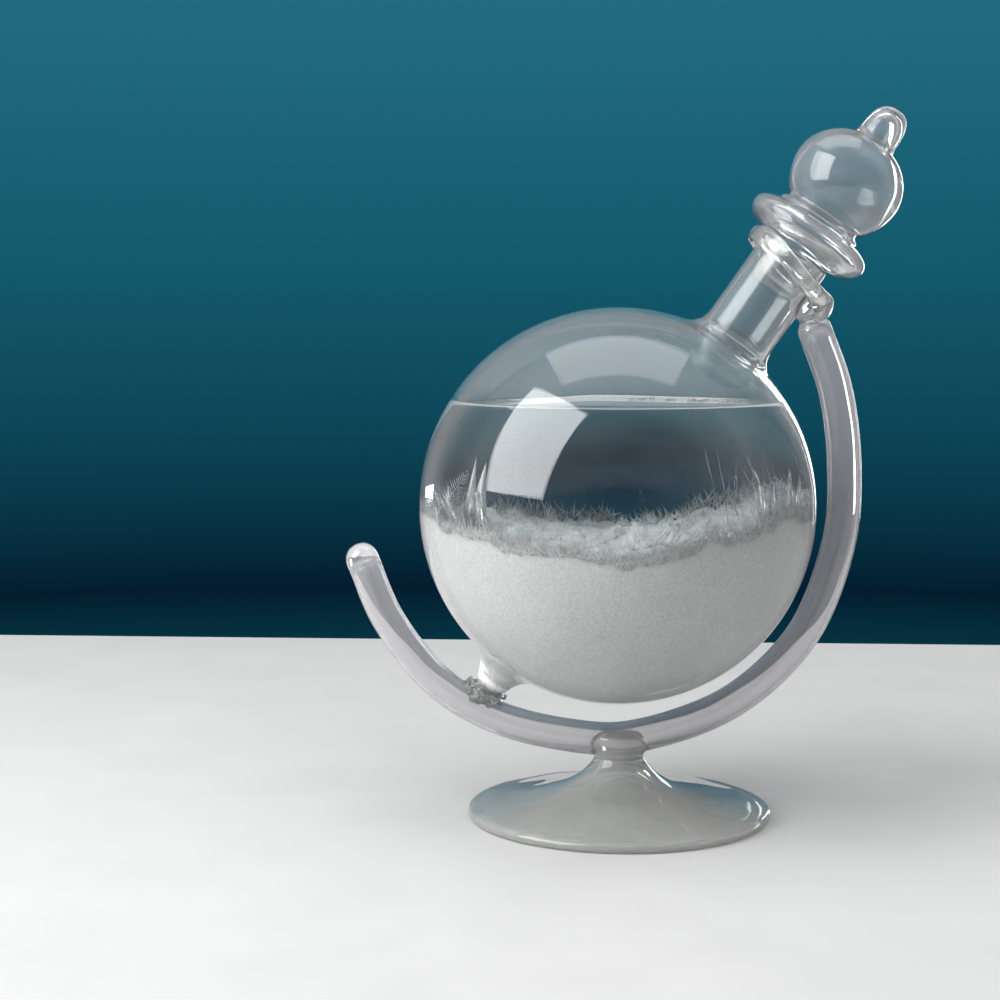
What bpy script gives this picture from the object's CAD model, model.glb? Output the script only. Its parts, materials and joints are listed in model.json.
# The looks of the globe storm glass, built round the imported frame. Shapes are worked out in millimetres in
# one of three spaces (standing on the table, upright about the globe's centre, or leaning along the neck)
# and placed in the part's frame, in metres.
import json
import math
import random

import bpy
import numpy as np
from mathutils import Matrix, Vector, noise


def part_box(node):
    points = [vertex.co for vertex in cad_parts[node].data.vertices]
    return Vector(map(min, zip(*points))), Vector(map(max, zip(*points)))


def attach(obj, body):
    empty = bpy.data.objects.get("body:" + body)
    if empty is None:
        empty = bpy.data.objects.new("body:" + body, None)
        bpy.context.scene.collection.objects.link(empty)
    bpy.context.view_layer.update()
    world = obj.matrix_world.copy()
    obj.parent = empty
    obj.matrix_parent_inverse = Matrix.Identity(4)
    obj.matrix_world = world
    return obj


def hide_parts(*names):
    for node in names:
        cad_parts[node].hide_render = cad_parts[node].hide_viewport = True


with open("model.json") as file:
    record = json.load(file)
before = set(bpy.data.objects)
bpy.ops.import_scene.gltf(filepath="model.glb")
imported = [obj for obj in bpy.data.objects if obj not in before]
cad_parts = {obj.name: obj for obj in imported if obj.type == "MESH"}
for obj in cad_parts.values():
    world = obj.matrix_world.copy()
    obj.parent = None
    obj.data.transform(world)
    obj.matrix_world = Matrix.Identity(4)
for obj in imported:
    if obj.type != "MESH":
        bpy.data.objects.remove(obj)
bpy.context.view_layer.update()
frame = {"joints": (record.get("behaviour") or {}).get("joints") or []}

MM = 0.001

# ---- Places, from the frame ----
globe_low, globe_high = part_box("globe_bulb")
GLOBE = (Vector(globe_low) + Vector(globe_high)) / 2
neck_axis = Vector(frame["joints"][0]["axis"])
LEAN = math.atan2(neck_axis.x, neck_axis.z)

STANDING = Matrix.Scale(MM, 4)
UPRIGHT = Matrix.Translation(GLOBE) @ STANDING
LEANING = Matrix.Translation(GLOBE) @ Matrix.Rotation(LEAN, 4, "Y") @ STANDING

# ---- Driving dimensions, in millimetres ----
GLOBE_R = 50.0
CAVITY_R = 48.4
NECK_R = 9.25
BORE_R = 7.95
LIQUID_LEVEL = 25.3
BED_LEVEL = -5.5  # of the settled crystals, on the whole
BED_LOW = -9.0  # and at its lowest, left of the middle
BED_BANK = 8.0  # how far it rises from there to the sides
BANK_FOOT = -20.0  # below this the bed follows the wall as it is
WET = 0.4  # the solution reaches this far into the glass, so that no film of air shows between them
BED_BITE = 0.5  # and the settled crystals a little further, so that they show right up to the glass
FACING_CAMERA = Vector((0, -1, 0))


# ---- Outlines ----
def arc(x, y, r, start, end, steps):
    """Points on an arc of radius r about (x, y), between two angles in degrees."""
    angles = np.radians(np.linspace(start, end, steps + 1))
    return [(x + r * math.cos(a), y + r * math.sin(a)) for a in angles]


def smooth(points, steps=8):
    """A Catmull-Rom curve through the points, which may have two or three coordinates."""
    before, after = 2 * np.array(points[0]) - points[1], 2 * np.array(points[-1]) - points[-2]
    p = np.array([before, *points, after], float)
    curve = []
    for i in range(1, len(p) - 2):
        for t in np.linspace(0, 1, steps, endpoint=False):
            curve.append(0.5 * (2 * p[i] + (p[i + 1] - p[i - 1]) * t
                                + (2 * p[i - 1] - 5 * p[i] + 4 * p[i + 1] - p[i + 2]) * t ** 2
                                + (3 * p[i] - p[i - 1] - 3 * p[i + 1] + p[i + 2]) * t ** 3))
    return [tuple(c) for c in curve] + [tuple(p[-2])]


def angle_at(r, x):
    return math.degrees(math.acos(x / r))


# ---- Meshes ----
def skin(rings, closed=False):
    """Vertices and faces of a surface through rings of points. A ring of one point is a pole."""
    verts, faces, index = [], [], []
    for ring in rings:
        index.append(list(range(len(verts), len(verts) + len(ring))))
        verts.extend(tuple(p) for p in ring)
    pairs = list(zip(index, index[1:])) + ([(index[-1], index[0])] if closed else [])
    for a, b in pairs:
        count = max(len(a), len(b))
        for i in range(count if count > 1 else 0):
            j = (i + 1) % count
            if len(a) == 1:
                faces.append((a[0], b[j], b[i]))
            elif len(b) == 1:
                faces.append((a[i], a[j], b[0]))
            else:
                faces.append((a[i], a[j], b[j], b[i]))
    return verts, faces


def turned(outline, around=128):
    """A surface of revolution. Its outline runs up the outside, from axis to axis or round a ring."""
    turns = np.linspace(0, 2 * math.pi, around, endpoint=False)
    rings = []
    for r, z in outline:
        rings.append([(0, 0, z)] if r < 1e-6 else [(r * math.cos(a), r * math.sin(a), z) for a in turns])
    return skin(rings, closed=outline[0][0] > 1e-6)


def tube(line, radii, around=40):
    """A round skin along a line in the plane Y = 0, closed where its radius is nothing."""
    line = np.array(line)
    along = np.gradient(line, axis=0)
    along /= np.linalg.norm(along, axis=1)[:, None]
    across = np.array([0.0, 1.0, 0.0])
    rings = []
    for point, t, r in zip(line, along, radii):
        side = np.cross(across, t)
        turns = np.linspace(0, 2 * math.pi, around, endpoint=False)
        ring = [point + r * (math.cos(a) * side + math.sin(a) * across) for a in turns]
        rings.append([point] if r < 1e-6 else ring)
    return skin(rings)


def leaned(shape):
    """A shape made about the neck's axis, turned into the upright space."""
    turn = Matrix.Rotation(LEAN, 3, "Y")
    return [tuple(turn @ Vector(v)) for v in shape[0]], shape[1]


def merged(*skins):
    verts, faces = [], []
    for v, f in skins:
        faces.extend(tuple(i + len(verts) for i in face) for face in f)
        verts.extend(v)
    return verts, faces


def piece(name, shape, place, material, body, replaced=(),
          wobble=0.0, grain=14.0):
    """An object from a shape, given its place, finish and body. wobble is the unevenness of blown glass."""
    verts, faces = shape
    mesh = bpy.data.meshes.new(name)
    mesh.from_pydata(verts, [], faces)
    mesh.update()
    if wobble:
        pushed = [v.co + v.normal * wobble * noise.noise(v.co / grain) for v in mesh.vertices]
        mesh.vertices.foreach_set("co", [c for co in pushed for c in co])
        mesh.update()
    mesh.transform(place)
    mesh.shade_smooth()
    mesh.materials.append(material)
    obj = bpy.data.objects.new(name, mesh)
    bpy.context.scene.collection.objects.link(obj)
    if replaced:
        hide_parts(*replaced)
    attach(obj, body)
    return obj


# ---- Materials ----
def new_material(name):
    material = bpy.data.materials.new(name)
    material.use_nodes = True
    nodes, links = material.node_tree.nodes, material.node_tree.links
    place = nodes.new("ShaderNodeTexCoord")
    return material, nodes, links, nodes["Principled BSDF"], place.outputs["Object"]


def texture(nodes, links, place, scale, detail=4.0):
    """A noise of so many cycles a metre."""
    node = nodes.new("ShaderNodeTexNoise")
    node.inputs["Scale"].default_value = scale
    node.inputs["Detail"].default_value = detail
    links.new(place, node.inputs["Vector"])
    return node.outputs["Fac"]


def ramp(nodes, links, factor, stops):
    node = nodes.new("ShaderNodeValToRGB")
    elements = node.color_ramp.elements
    while len(elements) < len(stops):
        elements.new(0.5)
    for element, (at, color) in zip(elements, stops):
        element.position = at
        element.color = (*color, 1.0)
    links.new(factor, node.inputs["Fac"])
    return node.outputs["Color"]


def add_bump(nodes, links, shader, height, distance, strength=1.0):
    bump = nodes.new("ShaderNodeBump")
    bump.inputs["Distance"].default_value = distance
    bump.inputs["Strength"].default_value = strength
    links.new(height, bump.inputs["Height"])
    links.new(bump.outputs["Normal"], shader.inputs["Normal"])


def map_range(nodes, links, value, source, target=(0.0, 1.0), eased=False):
    """The value carried from the range source to the range target."""
    node = nodes.new("ShaderNodeMapRange")
    if eased:
        node.interpolation_type = "SMOOTHSTEP"
    for socket, number in zip(("From Min", "From Max", "To Min", "To Max"), (*source, *target)):
        node.inputs[socket].default_value = number
    links.new(value, node.inputs["Value"])
    return node.outputs["Result"]


def spread(nodes, links, noise_value, low, high):
    """A noise, which keeps to about 0.3 to 0.7, spread from low to high."""
    return map_range(nodes, links, noise_value, (0.3, 0.7), (low, high))


def glass(name, tint, clearness=0.9, rough=(0.0, 0.03), ripple=0.00004):
    """Blown borosilicate: clear, with a faint film and the soft ripples of flame working."""
    material, nodes, links, shader, place = new_material(name)
    shader.inputs["Base Color"].default_value = (*tint, 1.0)
    shader.inputs["IOR"].default_value = 1.474
    shader.inputs["Transmission Weight"].default_value = clearness
    film = texture(nodes, links, place, 260.0)
    links.new(spread(nodes, links, film, *rough), shader.inputs["Roughness"])
    waves = texture(nodes, links, place, 55.0, 2.0)
    add_bump(nodes, links, shader, waves, ripple, 0.5)
    return material


def globe_material():
    """The globe's glass is clean where the solution wets it, and carries a dried film above the surface."""
    material = glass("globe_glass", (0.95, 0.965, 0.965), rough=(0.0, 0.015))
    nodes, links = material.node_tree.nodes, material.node_tree.links
    shader = nodes["Principled BSDF"]
    place = nodes.new("ShaderNodeTexCoord").outputs["Object"]
    height = nodes.new("ShaderNodeSeparateXYZ")
    links.new(place, height.inputs["Vector"])
    surface = GLOBE.z + LIQUID_LEVEL * MM
    wet, filmed = 1.0, 0.95
    film = map_range(nodes, links, height.outputs["Z"], (surface - 1 * MM, surface + 6 * MM),
                     (wet, filmed), eased=True)
    links.new(film, shader.inputs["Transmission Weight"])
    return material


def solution_material():
    material, nodes, links, shader, place = new_material("storm_solution")
    shader.inputs["Base Color"].default_value = (0.93, 0.985, 1.0, 1.0)
    shader.inputs["IOR"].default_value = 1.16
    shader.inputs["Transmission Weight"].default_value = 1.0
    swirl = texture(nodes, links, place, 40.0, 2.0)
    links.new(spread(nodes, links, swirl, 0.0, 0.01), shader.inputs["Roughness"])
    return material


def bed_material():
    """Fine settled crystals: frosted, light grey, a little lighter in patches, with a sugary grain."""
    material, nodes, links, shader, place = new_material("settled_crystals")
    patches = texture(nodes, links, place, 45.0, 6.0)
    color = ramp(nodes, links, patches, [(0.3, (0.86, 0.86, 0.86)), (0.7, (0.96, 0.96, 0.96))])
    specks = ramp(nodes, links, texture(nodes, links, place, 1700.0, 2.0), [
        (0.36, (0.87, 0.87, 0.87)), (0.6, (1.0, 1.0, 1.0))])
    dappled = nodes.new("ShaderNodeMix")
    dappled.data_type = "RGBA"
    dappled.blend_type = "MULTIPLY"
    dappled.inputs["Factor"].default_value = 1.0
    links.new(color, dappled.inputs["A"])
    links.new(specks, dappled.inputs["B"])
    links.new(dappled.outputs["Result"], shader.inputs["Base Color"])
    shader.inputs["Roughness"].default_value = 0.6
    shader.inputs["Subsurface Weight"].default_value = 0.25
    shader.inputs["Subsurface Radius"].default_value = (0.004, 0.004, 0.004)
    shader.inputs["Subsurface Scale"].default_value = 1.0
    grain = texture(nodes, links, place, 1100.0, 3.0)
    add_bump(nodes, links, shader, grain, 0.0004, 0.7)
    return material


def crystal_material(name, clearness, tone):
    """Loose camphor crystals: white where they are thick, glassy where they are thin."""
    material, nodes, links, shader, place = new_material(name)
    shade = texture(nodes, links, place, 320.0, 3.0)
    dim = tuple(0.82 * c for c in tone)
    links.new(ramp(nodes, links, shade, [(0.35, dim), (0.65, tone)]), shader.inputs["Base Color"])
    links.new(spread(nodes, links, shade, 0.15, 0.4), shader.inputs["Roughness"])
    shader.inputs["IOR"].default_value = 1.5
    shader.inputs["Transmission Weight"].default_value = clearness
    return material


TUBE_GLASS = glass("tube_glass", (0.9, 0.89, 0.91), clearness=0.84)
STOPPER_GLASS = glass("stopper_glass", (0.88, 0.89, 0.9), clearness=0.93)
GLOBE_GLASS = globe_material()
THICK = glass("worked_glass", (0.96, 0.985, 0.965), clearness=0.97, rough=(0.0, 0.05), ripple=0.0001)
FOOT = glass("foot_glass", (0.82, 0.83, 0.805), clearness=0.8)
SOLUTION = solution_material()
BED = bed_material()
FEATHER = crystal_material("feather_crystals", 0.2, (0.95, 0.95, 0.95))
PLATE = crystal_material("plate_crystals", 0.88, (0.88, 0.89, 0.88))

# ---- Globe: shell, hollow pip, neck and fillet in one glass ----
PIP_ROOT_R = 12.5
PIP_MOUTH_R = 11.5
NECK_ROOT_R = 12.9
NECK_MOUTH_R = 12
pip_outside = smooth([
    (0, -58.9), (1.7, -58.7), (2.8, -58.1), (3.6, -57.0), (4.5, -55.0), (5.6, -52.7), (7.3, -50.75),
    (9.8, -49.3), (PIP_ROOT_R, -math.sqrt(GLOBE_R ** 2 - PIP_ROOT_R ** 2)),
], 5)
root_outside = smooth([
    (NECK_ROOT_R, math.sqrt(GLOBE_R ** 2 - NECK_ROOT_R ** 2)), (12.0, 48.75), (11.3, 49.15), (10.6, 49.95),
    (9.9, 50.9), (9.45, 52.2), (NECK_R, 54), (NECK_R, 57),
], 5)
lip = smooth([(NECK_R, 75.6), (9.2, 76.6), (8.75, 77.2), (8.3, 77.1), (8.0, 76.5), (BORE_R, 75.5)], 4)
root_inside = smooth([(BORE_R, 56), (BORE_R, 52.5), (8.2, 50.4), (9.0, 48.6), (10.4, 47.5),
                      (NECK_MOUTH_R, math.sqrt(CAVITY_R ** 2 - NECK_MOUTH_R ** 2))], 5)
pip_hollow = smooth([(PIP_MOUTH_R, -47.0), (9.3, -48.4), (6.7, -50.15), (4.85, -52.6), (3.75, -55.1),
                     (2.7, -56.8), (1.4, -57.6), (0, -57.8)], 5)


def straight(x, low, high, steps):
    return [(x, z) for z in np.linspace(low, high, steps)]


def globe_outline():
    outside = arc(0, 0, GLOBE_R, -angle_at(GLOBE_R, PIP_ROOT_R), angle_at(GLOBE_R, NECK_ROOT_R), 84)
    inside = arc(0, 0, CAVITY_R, angle_at(CAVITY_R, NECK_MOUTH_R), -angle_at(CAVITY_R, PIP_MOUTH_R), 80)
    return (pip_outside + outside[1:-1] + root_outside + straight(NECK_R, 59, 74, 10) + lip
            + straight(BORE_R, 74, 58, 10) + root_inside + inside[1:-1] + pip_hollow)


piece("globe_glass", turned(globe_outline(), 160), LEANING, GLOBE_GLASS, "vessel",
      ("globe_bulb", "neck_tube", "neck_fillet"), wobble=0.1, grain=22.0)

# ---- Bent tube: melted shut at its free end, drawn in to a bead at the collar ----
ARM_R = 4.25
ARM_BORE_R = 3.25
ARM_LINE = [  # [angle from +X in degrees, radius] about the globe's centre, from the free end to the collar
    (192.6, 66.3), (207, 65.3), (224, 64.5), (240, 62.7), (258, 60.3), (275, 59.3),
    (300, 57.9), (325, 57.1), (350, 56.4), (370, 57.7), (388, 61.6), (402.5, 66.2),
]
END_CAP = 4.6  # length past the last point at the free end
CAP_ROUND = 4.2  # of which this much is rounded
CAP_SOLID = 3.0  # and this much has no bore
BEAD = 9.0  # length past the last point at the collar
BEAD_SOLID = 8.6
BEAD_PROFILE = [  # (distance from the top end, radius)
    (0, 0), (0.5, 2.4), (1.4, 3.6), (2.6, 4.3), (4.0, 4.1), (5.6, 3.1), (6.6, 2.95), (7.5, 3.5),
    (8.4, 4.15), (9.6, ARM_R),
]


def polar(degrees, radius):
    a = math.radians(degrees)
    return (radius * math.cos(a), 0.0, radius * math.sin(a))


def arm_centre_line(step=0.75):
    line = np.array(smooth([polar(*p) for p in ARM_LINE], 24))
    start, end = line[0] - line[1], line[-1] - line[-2]
    line = np.vstack([line[0] + start / np.linalg.norm(start) * END_CAP, line,
                      line[-1] + end / np.linalg.norm(end) * BEAD])
    run = np.concatenate([[0], np.cumsum(np.linalg.norm(np.diff(line, axis=0), axis=1))])
    stations = np.unique(np.concatenate([np.arange(0, run[-1], step), np.linspace(0, 3, 9),
                                         run[-1] - np.linspace(0, BEAD + 3, 30)]))
    return np.array([[np.interp(s, run, line[:, k]) for k in range(3)] for s in stations]), stations


def domed(run, length):
    """How wide a round end has opened, from 0 to 1, at each distance from its tip."""
    return (1 - (1 - np.clip(run / length, 0, 1)) ** 2) ** 0.5


def arm_shape():
    line, run = arm_centre_line()
    from_top = run[-1] - run
    bead, bead_r = zip(*BEAD_PROFILE)
    radii = np.where(from_top < bead[-1], np.interp(from_top, bead, bead_r), ARM_R * domed(run, CAP_ROUND))
    inner = (run > CAP_SOLID) & (from_top > BEAD_SOLID)
    bore_run = run[inner]
    bore = ARM_BORE_R * np.minimum(domed(bore_run - bore_run[0], 3.6), domed(bore_run[-1] - bore_run, 4.0))
    verts, faces = tube(line[inner], bore)
    return merged(tube(line, radii), (verts, [face[::-1] for face in faces]))


piece("bent_tube", arm_shape(), UPRIGHT, TUBE_GLASS, "vessel",
      ("meridian_arm", "arm_end_seal", "collar_bead"), wobble=0.07, grain=13.0)


# ---- Collar: a leaning, uneven band round the neck, taller where it meets the bead ----
COLLAR_Z = 72.3
COLLAR_OFFSET = 1.1  # the ring's centre stands this far towards the bead
COLLAR_ACROSS, COLLAR_THROUGH = 12.1, 11.5


def collar_shape(around=120, round_section=28):
    rings = []
    for a in np.linspace(0, 2 * math.pi, around, endpoint=False):
        u, v = math.cos(a), math.sin(a)
        swell = max(0.0, u) ** 3
        thick = 1.55 + 0.5 * swell + 0.12 * math.sin(3 * a + 1)
        high = 2.2 + 1.7 * swell + 0.2 * math.sin(2 * a)
        reach_u, reach_v = COLLAR_ACROSS + 0.5 * swell, COLLAR_THROUGH
        level = COLLAR_Z - 0.26 * COLLAR_ACROSS * u - 0.1 * COLLAR_THROUGH * v
        centre = np.array([COLLAR_OFFSET + reach_u * u, reach_v * v, level])
        outward = np.array([u, v, 0.0])
        rings.append([centre + thick * math.cos(b) * outward + high * math.sin(b) * np.array([0, 0, 1.0])
                      for b in np.linspace(0, 2 * math.pi, round_section, endpoint=False)])
    verts, faces = skin(rings, closed=True)
    return verts, [face[::-1] for face in faces]


piece("collar_glass", collar_shape(), LEANING, THICK, "vessel", ("holder_collar",),
      wobble=0.35, grain=4.0)


# ---- Beads of melted glass, uneven and full of small waves ----
def lump(centre, size, ridges, seed, around=36):
    """A rounded lump with its own unevenness, in the space of its centre."""
    place = Vector((7.3, 1.9, 4.1)) * seed
    rings = []
    for polar_angle in np.linspace(-90, 90, 25):
        p = math.radians(polar_angle)
        ring = []
        for a in np.linspace(0, 2 * math.pi, around, endpoint=False):
            d = Vector((math.cos(p) * math.cos(a), math.cos(p) * math.sin(a), math.sin(p)))
            r = 1 + ridges * noise.noise(d * 1.8 + place) + 0.4 * ridges * noise.noise(d * 5 + place)
            ring.append(tuple(c + half * r * along for c, half, along in zip(centre, size, d)))
        rings.append(ring[:1] if abs(polar_angle) == 90 else ring)
    return skin(rings)


pip_beads = merged(
    lump((0.2, 0, -58.6), (4.6, 4.4, 2.3), 0.35, 1), lump((3.1, -0.8, -57.0), (2.0, 2.2, 1.7), 0.5, 2),
    lump((-3.6, -0.6, -58.9), (2.2, 2.4, 1.5), 0.5, 3), lump((-1.0, -2.9, -60.2), (2.3, 1.7, 1.7), 0.5, 4),
    lump((2.0, -3.1, -59.4), (1.6, 1.4, 1.4), 0.5, 5),
)
piece("pip_beads", pip_beads, LEANING, THICK, "vessel", ("pip_bead",))

# ---- Foot: flared hollow bell with a rolled rim, and the knot that carries the tube ----
FOOT_R = 38.6
RIM = 2.6


def bell_outline():
    rim = arc(FOOT_R - RIM / 2, RIM / 2, RIM / 2, -90, 80, 14)
    outside = smooth([(36.4, 2.72), (34, 3.1), (28, 4.3), (21, 5.9), (15, 7.9), (10.6, 10.3), (7.9, 12.6),
                      (6.5, 14.6), (6.1, 15.6), (6.3, 16.4), (6.9, 17.2), (6.7, 18.2), (5.6, 19.0)], 6)
    top = [(4, 19.3), (2, 19.4), (0, 19.4)]
    inside = smooth([(0, 13.2), (1.6, 13.0), (3.2, 12.4), (4.9, 11.2), (7.4, 9.1), (11, 7.0), (16, 5.2),
                     (22, 3.7), (29, 2.3), (33.4, 1.4), (35.1, 0.7), (36.2, 0.08)], 6)
    return inside + rim + outside + top


def knot_saddle(verts):
    """Wraps the knot's upper part up the sides of the bent tube."""
    saddle_foot, saddle_rise, saddle_half = 15.2, 3.0, 5.0
    shaped = []
    for x, y, z in verts:
        rise = np.clip((z - saddle_foot) / saddle_rise, 0, 1)
        side = min(abs(y) / saddle_half, 1.0)
        shaped.append((x * (1 + 0.12 * rise), y * (1 - 0.05 * rise), z + rise * 2.6 * side ** 2))
    return shaped


bell_verts, bell_faces = turned(bell_outline(), 144)
piece("foot_glass", (knot_saddle(bell_verts), bell_faces), STANDING, FOOT, "vessel",
      ("foot_bell", "foot_knot"), wobble=0.22, grain=11.0)

# ---- Stopper: plug, bellows flange, bulb and tip blown in one, hollow ----
BULB_Z = 98.8
BULB_R, BULB_UP = 14.3, 12.0
BULB_WALL = 1.1


def bulb(radius, up, start, end, steps):
    """The bulb's outline, round below its middle and flattened above it."""
    circle = arc(0, 0, 1, start, end, steps)
    return [(x * radius, BULB_Z + y * (up if y > 0 else radius)) for x, y in circle]


def stopper_outline():
    plug = smooth([(0, 66.2), (1.8, 66.25), (3.6, 66.5), (5.6, 67.2), (6.75, 68.7), (7.15, 71), (7.5, 75.6),
                   (7.7, 77.0), (8.6, 77.7)], 5)
    flange = smooth([(10.4, 77.9), (12.4, 78.3), (14.2, 79.1), (15.6, 80.4), (16.2, 81.9), (16.15, 83.2),
                     (15.4, 84.4), (13.9, 85.3), (12.3, 85.9), (11.2, 86.5), (11.0, 87.1), (10.4, 87.6),
                     (9.75, 88.2), (9.75, 88.9)], 5)
    body = bulb(BULB_R, BULB_UP, -41, 66, 44)
    tip = smooth([(5.4, 110.3), (5.15, 111.3), (5.15, 112.8), (4.95, 115), (4.45, 116.9), (3.5, 118.4),
                  (2, 119.4), (0, 119.7)], 6)
    return plug + flange + body + tip


def stopper_hollow():
    low = smooth([(0, 67.9), (2.4, 68.1), (4.6, 68.8), (5.6, 70.3), (6.2, 75), (6.6, 78.6), (8.8, 79.7),
                  (11.4, 80.5), (13.4, 81.7), (13.6, 82.9), (12.2, 84.0), (9.9, 84.9), (8.7, 86.2),
                  (8.5, 87.4), (8.6, 88.7)], 5)
    body = bulb(BULB_R - BULB_WALL, BULB_UP - BULB_WALL, -44, 68, 44)
    tip = smooth([(3.6, 109.9), (3.7, 111.2), (3.6, 113.4), (3.0, 115.7), (1.8, 117.3), (0, 117.8)], 5)
    return (low + body + tip)[::-1]


piece("stopper_glass", merged(turned(stopper_outline(), 128), turned(stopper_hollow(), 128)), LEANING,
      STOPPER_GLASS, "stopper", ("stopper_plug", "stopper_flange", "stopper_bulb", "stopper_finial"),
      wobble=0.16, grain=7.0)


# ---- Solution, with the meniscus that it draws up the glass ----
def pip_core(inset):
    """What fills the pip, let into the globe's contents."""
    hollow = [(max(r - inset, 0), z + inset) for r, z in pip_hollow[::-1]]
    return hollow + [(PIP_MOUTH_R - inset, -44.0), (0, -43.0)]


def solution_outline():
    r = CAVITY_R + WET
    climb, width = 1.2, 1.6
    contact = math.degrees(math.asin((LIQUID_LEVEL + climb) / r))
    wall = arc(0, 0, r, -90, contact, 90)
    edge = wall[-1][0]
    inward = np.linspace(0, 10, 24)[1:]
    surface = [(edge - d, LIQUID_LEVEL + climb * math.exp(-d / width)) for d in inward]
    return [(0, -r)] + wall[1:] + surface + [(edge * k, LIQUID_LEVEL) for k in (0.6, 0.4, 0.2, 0)]


piece("solution", merged(turned(solution_outline(), 144), leaned(turned(pip_core(-WET), 64))), UPRIGHT,
      SOLUTION, "vessel", ("storm_solution",))


# ---- Settled crystals ----
def bed_height(x, y):
    """The level of the settled crystals: lowest just left of the middle, banked up towards the sides."""
    banked = BED_LOW + BED_BANK * min(1.0, abs(x + 4) / 44) ** 1.6
    drifts = 1.1 * math.sin(x * 0.17 + 0.4) * math.cos(y * 0.21)
    lumps = 2.0 * noise.noise(Vector((x, y, 0)) / 6)
    crumbs = 1.2 * noise.noise(Vector((x, y, 9)) / 2.2)
    return banked + drifts + lumps + crumbs


def bed_shape(around=240):
    r = CAVITY_R + BED_BITE
    wall = arc(0, 0, r, -90, math.degrees(math.asin(BED_LEVEL / r)), 60)
    edge = wall[-1][0]
    top = [(edge * k, BED_LEVEL) for k in np.linspace(1, 0, 60)[1:]]
    verts, faces = turned([(0, -r)] + wall[1:] + top, around)
    shaped = []
    for x, y, z in verts:
        reach = math.hypot(x, y)
        if z > BED_LEVEL - 1e-6:
            brim = bed_height(x * edge / reach, y * edge / reach) if reach > 1 else BED_LEVEL
            grow = 1 + (math.sqrt(r * r - brim * brim) / edge - 1) * reach / edge
            shaped.append((x * grow, y * grow, brim if reach > edge - 1e-6 else bed_height(x, y)))
        elif z > BANK_FOOT and reach > 1:
            brim = bed_height(x * edge / reach, y * edge / reach)
            z = BANK_FOOT + (z - BANK_FOOT) * (brim - BANK_FOOT) / (BED_LEVEL - BANK_FOOT)
            grow = math.sqrt(r * r - z * z) / reach
            shaped.append((x * grow, y * grow, z))
        else:
            shaped.append((x, y, z))
    return shaped, faces


piece("settled_bed", merged(bed_shape(), leaned(turned(pip_core(-BED_BITE), 64))), UPRIGHT, BED, "vessel",
      ("crystal_bed",))


# ---- Growth above the bed: feathers, needles and plates ----
FEATHERS = 300
SNOW_PUFFS, PUFF_NEEDLES = 320, 26
LOOSE_NEEDLES = 2600
FRINGE_NEEDLES = 4600
BLADES_LEFT, BLADES_RIGHT, PARALLEL_NEEDLES = 7, 26, 14
WISPS = 44
FLAKE_COUNT = 15
BED_REACH = 47.2  # nothing grows farther than this from the middle


def spike(verts, faces, base, tip, width, flat, facing):
    """One closed crystal: a four-sided sliver, widest a third of the way up, flattened across facing."""
    base, tip = Vector(base), Vector(tip)
    along = (tip - base).normalized()
    side = along.cross(facing).normalized()
    front = side.cross(along)
    waist = base.lerp(tip, 0.3)
    first = len(verts)
    ring = [waist + side * width, waist + front * flat, waist - side * width, waist - front * flat]
    verts.extend(tuple(p) for p in [base, *ring, tip])
    for k in range(4):
        a, b = first + 1 + k, first + 1 + (k + 1) % 4
        faces.append((first, b, a))
        faces.append((first + 5, a, b))


def inside_wall(p, margin=0.8):
    return p.length < CAVITY_R - margin


def feather(verts, faces, root, direction, facing, length, rng):
    """A fern-like crystal: a stem with pairs of barbs that shorten towards its tip."""
    direction = direction.normalized()
    side = direction.cross(facing).normalized()
    tip = root + direction * length
    if not inside_wall(tip):
        return
    spike(verts, faces, root, tip, 0.16, 0.1, facing)
    barbs = int(length * 1.7)
    for k in range(barbs):
        t = (k + 0.6) / barbs
        at = root + direction * length * t
        reach = length * 0.42 * (1 - t) ** 0.8 * (0.7 + 0.5 * rng.random()) + 0.35
        for sign in (-1, 1):
            if rng.random() < 0.12:
                continue
            way = (direction * 0.62 + side * sign * 0.9 + facing * rng.uniform(-0.25, 0.25)).normalized()
            end = at + way * reach
            if inside_wall(end):
                spike(verts, faces, at, end, 0.11, 0.07, facing)


def growth_height(x, y):
    """How tall the feathers grow: low in the middle and at the back, tall by the left and right walls."""
    clumps = 0.7 + 1.3 * noise.noise(Vector((x, y, 3)) / 6)
    return clumps * (2.4 + 0.0030 * x * x + (3.0 if x > 26 else 0.0)) * (1 - 0.008 * (y + 20))


def on_bed(rng):
    reach = BED_REACH * math.sqrt(rng.random())
    turn = rng.uniform(0, 2 * math.pi)
    x, y = reach * math.cos(turn), reach * math.sin(turn)
    return Vector((x, y, bed_height(x, y) - 0.3))


def feathers_shape():
    rng = random.Random(11)
    verts, faces = [], []
    for _ in range(FEATHERS):
        root = on_bed(rng)
        tall = growth_height(root.x, root.y) * rng.uniform(0.55, 1.35)
        lean = Vector((rng.gauss(0, 0.7), rng.gauss(0, 0.6), 1.0))
        facing = Vector((rng.uniform(-0.6, 0.6), -1.0, rng.uniform(-0.3, 0.3))).normalized()
        feather(verts, faces, root, lean, facing, tall, rng)
    return verts, faces


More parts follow.
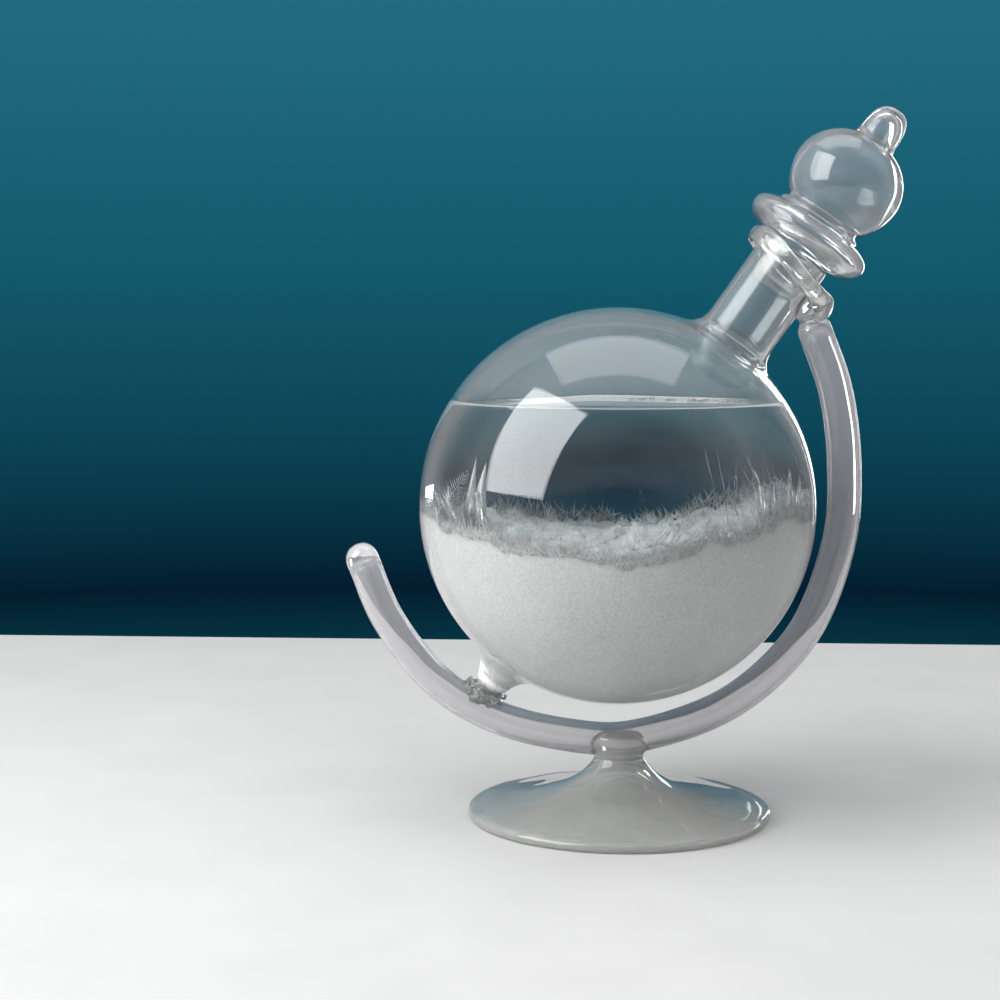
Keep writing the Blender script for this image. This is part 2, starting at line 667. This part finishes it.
def fuzz_shape():
    """Puffs of short needles with finer ones between them, which cover the bed like snow."""
    rng = random.Random(12)
    verts, faces = [], []
    for _ in range(SNOW_PUFFS):
        middle = on_bed(rng) + Vector((0, 0, rng.uniform(-0.5, 1.2)))
        size = rng.uniform(0.8, 2.4) * (1 + 0.012 * abs(middle.x))
        for _ in range(PUFF_NEEDLES):
            way = Vector((rng.gauss(0, 1), rng.gauss(0, 1), abs(rng.gauss(0, 0.9)))).normalized()
            tip = middle + way * size * rng.uniform(0.5, 1.4)
            if inside_wall(tip, 0.5):
                spike(verts, faces, middle, tip, 0.12, 0.12, Vector((0, -1, 0.01)))
    for _ in range(LOOSE_NEEDLES):
        root = on_bed(rng)
        way = Vector((rng.gauss(0, 0.6), rng.gauss(0, 0.6), 1.0)).normalized()
        tip = root + way * rng.uniform(0.8, 2.6) * (1 + 0.01 * abs(root.x))
        if inside_wall(tip, 0.6):
            spike(verts, faces, root, tip, 0.09, 0.09, FACING_CAMERA)
    return verts, faces


def fringe_shape():
    """Frost on the glass itself, which frays the upper edge of the settled crystals."""
    rng = random.Random(16)
    verts, faces = [], []
    r = CAVITY_R + 0.9 * BED_BITE
    for _ in range(FRINGE_NEEDLES):
        turn = rng.uniform(0, 2 * math.pi)
        brim = bed_height(CAVITY_R * math.cos(turn), CAVITY_R * math.sin(turn))
        low = brim + rng.uniform(-2.6, 1.4)
        high = low + rng.uniform(0.8, 3.0) * (1 + 0.8 * abs(math.cos(turn)))
        ends = []
        for z, swing in ((low, 0.0), (high, rng.gauss(0, 0.03))):
            reach = math.sqrt(r * r - z * z)
            ends.append(Vector((reach * math.cos(turn + swing), reach * math.sin(turn + swing), z)))
        spike(verts, faces, ends[0], ends[1], rng.uniform(0.08, 0.24), 0.05, ends[0].normalized())
    return verts, faces


def plates_shape():
    """Thin broad blades by the left wall, a fan by the right wall and parallel needles near the middle."""
    rng = random.Random(13)
    verts, faces = [], []

    def blade(root, tip, width, flat, turn):
        facing = Vector((rng.uniform(-turn, turn), -1, 0))
        spike(verts, faces, root, tip, width, flat, facing)

    for k in range(BLADES_LEFT):
        root = Vector((-39 + 1.6 * k + rng.uniform(-1, 1), rng.uniform(-24, -8), BED_LEVEL))
        tip = root + Vector((rng.uniform(-6, 5), rng.uniform(-4, 4), rng.uniform(9, 19)))
        if inside_wall(tip):
            blade(root, tip, rng.uniform(1.2, 2.8), 0.1, 0.4)
    for _ in range(BLADES_RIGHT):
        root = Vector((rng.uniform(33, 42), rng.uniform(-20, 6), BED_LEVEL + 1))
        tip = root + Vector((rng.uniform(-5, 4), rng.uniform(-5, 5), rng.uniform(6, 14)))
        if inside_wall(tip):
            blade(root, tip, rng.uniform(0.4, 1.1), 0.12, 0.5)
    for k in range(PARALLEL_NEEDLES):
        x = 8 + 0.9 * k
        root = Vector((x, -26 + rng.uniform(-4, 4), bed_height(x, -26)))
        tip = root + Vector((4.0 + rng.uniform(-0.8, 0.8), rng.uniform(-1, 1), 6.0 + rng.uniform(-2, 1.5)))
        spike(verts, faces, root, tip, 0.22, 0.14, FACING_CAMERA)
    return verts, faces


def wisps_shape():
    """Hair-fine threads of crystal that hang along the inside of the wall at the right."""
    rng = random.Random(14)
    verts, faces = [], []
    for _ in range(WISPS):
        turn = math.radians(rng.uniform(-62, 8))
        low = rng.uniform(-2, 8)
        high = low + rng.uniform(4, 13)
        ends = []
        for z, swing in ((low, 0.0), (min(high, 22), rng.uniform(-0.12, 0.05))):
            r = math.sqrt((CAVITY_R - 1.2) ** 2 - z * z)
            ends.append(Vector((r * math.cos(turn + swing), r * math.sin(turn + swing), z)))
        spike(verts, faces, ends[0], ends[1], 0.13, 0.07, ends[0].normalized())
    return verts, faces


FRONDS = [f"crystal_frond_{i}" for i in range(1, 17)]
piece("feather_crystals", feathers_shape(), UPRIGHT, FEATHER, "vessel", FRONDS)
piece("frost_needles", fuzz_shape(), UPRIGHT, FEATHER, "vessel")
piece("wall_frost", fringe_shape(), UPRIGHT, FEATHER, "vessel")
piece("plate_crystals", plates_shape(), UPRIGHT, PLATE, "vessel")
piece("wall_wisps", wisps_shape(), UPRIGHT, PLATE, "vessel")


# ---- Flakes afloat ----
def flake(centre, size, turn):
    """A six-armed flake with notched arms, as thin as paper and a little thicker in the middle."""
    x, y, z = centre
    half_thick, half_middle, notch = 0.12, 0.2, 0.5
    outline = []
    for k in range(12):
        a = turn + math.pi * k / 6
        r = size * (1.0 if k % 2 == 0 else notch)
        outline.append((x + r * math.cos(a), y + r * math.sin(a)))
    low = [(*p, z - half_thick) for p in outline]
    high = [(*p, z + half_thick) for p in outline]
    return skin([[(x, y, z - half_middle)], low, high, [(x, y, z + half_middle)]])


def flakes_shape():
    rng = random.Random(15)
    flakes = []
    for _ in range(FLAKE_COUNT):
        turn = math.radians(rng.uniform(25, 85))
        reach = rng.uniform(34, 39.5)
        centre = (reach * math.cos(turn), reach * math.sin(turn), LIQUID_LEVEL + 0.25)
        flakes.append(flake(centre, rng.uniform(0.6, 1.5), rng.uniform(0, 1)))
    return merged(*flakes)


FLAKES = [f"floating_flake_{i}" for i in range(1, 6)]
piece("floating_flakes", flakes_shape(), UPRIGHT, FEATHER, "vessel", FLAKES)


# ---- Table, surroundings and lights ----
def table():
    material, nodes, links, shader, place = new_material("pale_table")
    mottle = texture(nodes, links, place, 30.0)
    color = ramp(nodes, links, mottle, [(0.3, (0.50, 0.50, 0.50)), (0.7, (0.53, 0.53, 0.53))])
    links.new(color, shader.inputs["Base Color"])
    shader.inputs["Roughness"].default_value = 0.7
    left, right, near, far, thick = -460, 460, -620, 265, 20
    corners = ((left, near), (right, near), (right, far), (left, far))
    verts = [(x, y, z) for z in (-thick, 0) for x, y in corners]
    faces = [(3, 2, 1, 0), (4, 5, 6, 7)] + [(i, (i + 1) % 4, (i + 1) % 4 + 4, i + 4) for i in range(4)]
    mesh = bpy.data.meshes.new("table")
    mesh.from_pydata(verts, [], faces)
    mesh.transform(STANDING)
    mesh.materials.append(material)
    obj = bpy.data.objects.new("table", mesh)
    bpy.context.scene.collection.objects.link(obj)


GROUND_WAY = (-0.07, 0.9975, 0.0)  # from the globe to the middle of the dark ground behind it


def surroundings():
    """A light studio, with a plain deep teal ground behind the object that fades up to a lighter one."""
    world = bpy.data.worlds.new("studio")
    bpy.context.scene.world = world
    world.use_nodes = True
    nodes, links = world.node_tree.nodes, world.node_tree.links
    place = nodes.new("ShaderNodeTexCoord")
    split = nodes.new("ShaderNodeSeparateXYZ")
    links.new(place.outputs["Generated"], split.inputs["Vector"])

    upward = map_range(nodes, links, split.outputs["Z"], (-0.3, 0.2))
    ground = ramp(nodes, links, upward, [
        (0.0, (0.003, 0.075, 0.105)), (0.2, (0.003, 0.06, 0.085)), (0.32, (0.001, 0.012, 0.028)),
        (0.48, (0.004, 0.06, 0.095)), (0.64, (0.007, 0.1, 0.15)), (1.0, (0.02, 0.17, 0.25))])
    backward = map_range(nodes, links, split.outputs["Y"], (-1, 1))
    studio = ramp(nodes, links, backward, [
        (0.0, (0.1, 0.1, 0.1)), (0.25, (0.36, 0.36, 0.36)), (0.5, (0.9, 0.9, 0.9)),
        (0.72, (0.36, 0.355, 0.36)), (1.0, (0.18, 0.175, 0.18))])
    toward = nodes.new("ShaderNodeVectorMath")
    toward.operation = "DOT_PRODUCT"
    toward.inputs[1].default_value = GROUND_WAY
    links.new(place.outputs["Generated"], toward.inputs[0])
    behind = map_range(nodes, links, toward.outputs["Value"], (0.86, 0.945), eased=True)
    mix = nodes.new("ShaderNodeMix")
    mix.data_type = "RGBA"
    links.new(behind, mix.inputs["Factor"])
    links.new(studio, mix.inputs["A"])
    links.new(ground, mix.inputs["B"])
    links.new(mix.outputs["Result"], nodes["Background"].inputs["Color"])


def softbox(name, way, distance, width, height, power, mirrored=True):
    """A softbox that faces the globe from the direction way. Its mirror image can be left out."""
    light = bpy.data.lights.new(name, "AREA")
    light.shape = "RECTANGLE"
    light.size, light.size_y = width, height
    light.energy = power
    obj = bpy.data.objects.new(name, light)
    way = Vector(way).normalized()
    obj.location = GLOBE + way * distance
    obj.visible_glossy = obj.visible_transmission = mirrored
    obj.rotation_euler = way.to_track_quat("Z", "Y").to_euler()
    bpy.context.scene.collection.objects.link(obj)


CAMERA = Vector((0.0, -0.5, 0.1295))
LOOK_AT = Vector((-0.0305, 0.0, 0.0808))
LENS = 71.4


def camera():
    """In front of the object and a little above it, turned so that it stands right of the middle."""
    data = bpy.data.cameras.new("camera")
    data.lens = LENS
    obj = bpy.data.objects.new("camera", data)
    obj.location = CAMERA
    obj.rotation_euler = (LOOK_AT - CAMERA).to_track_quat("-Z", "Y").to_euler()
    bpy.context.scene.collection.objects.link(obj)
    bpy.context.scene.camera = obj


table()
surroundings()
softbox("key", (-0.716, -0.42, 0.55), 0.6, 0.44, 0.58, 5.0)
softbox("overhead", (0.0, 0.17, 1.05), 0.7, 0.66, 0.42, 1.3)
softbox("rim", (0.39, 0.92, 0.1), 1.1, 0.12, 0.5, 1.2)
softbox("fill", (0.35, -0.75, 0.95), 1.1, 1.0, 0.8, 5.0, mirrored=False)
camera()

bpy.context.scene.view_settings.view_transform = "Standard"
cycles = bpy.context.scene.cycles
cycles.max_bounces = 24
cycles.transmission_bounces = 24
cycles.glossy_bounces = 8
cycles.transparent_max_bounces = 16
